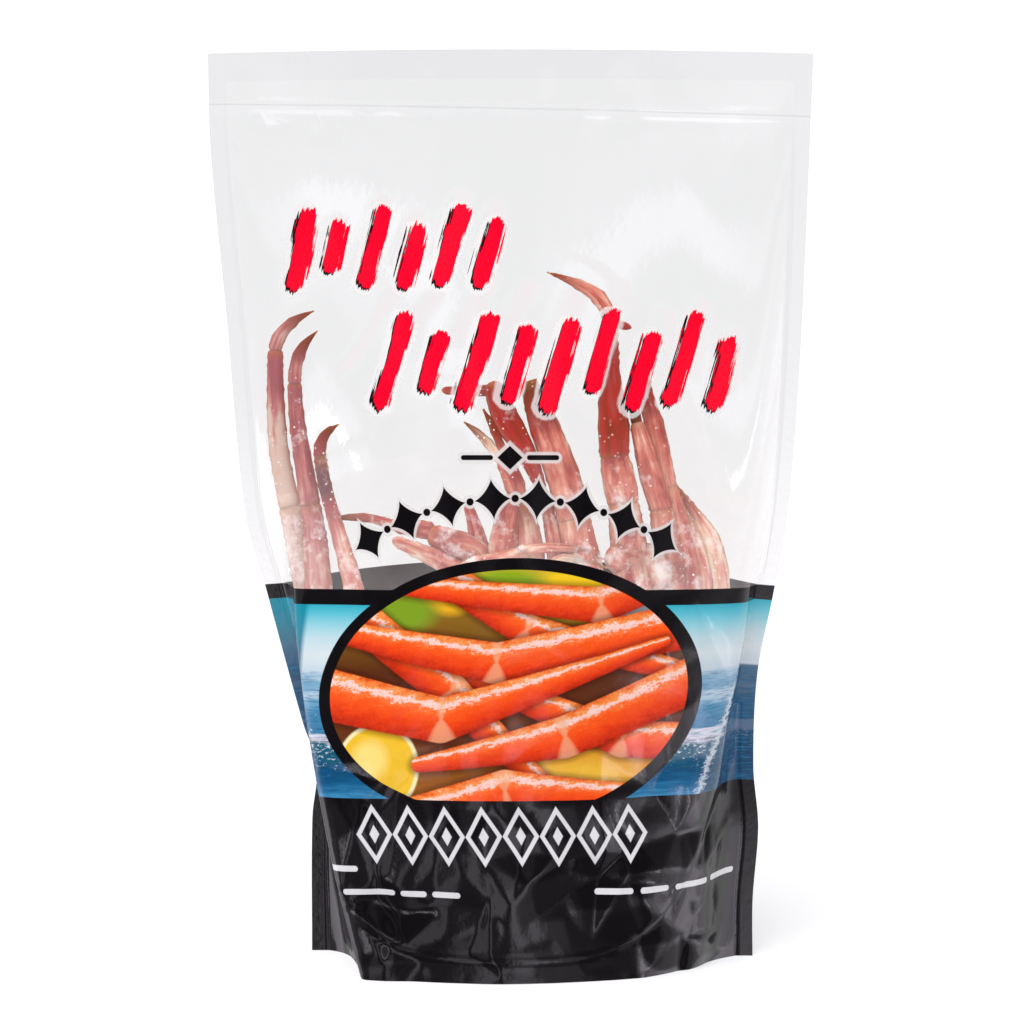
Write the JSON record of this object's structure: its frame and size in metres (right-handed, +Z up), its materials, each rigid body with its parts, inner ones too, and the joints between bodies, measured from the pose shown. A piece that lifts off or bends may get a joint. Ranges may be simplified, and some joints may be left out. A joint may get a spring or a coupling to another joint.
{
  "type": "stand-up pouch of snow crab clusters",
  "caption": "Sealed stand-up pouch in clear film, printed over its lower half, filled with frozen snow crab leg clusters and standing on its opened bottom gusset.",
  "frame": {"origin": "middle of the base, on the surface that the pouch stands on", "axes": "+X to the right across the pouch as seen from its printed front, -Y out of the front, +Z up"},
  "size_m": [0.305, 0.1176, 0.47],
  "materials": {
    "film_clear": "clear glossy laminate film",
    "film_print": "black glossy reverse print under clear film",
    "crab_shell": "cooked crab shell, frosted"
  },
  "bodies": {
    "root": {"pouch": "film_clear"}
  },
  "joints": []
}
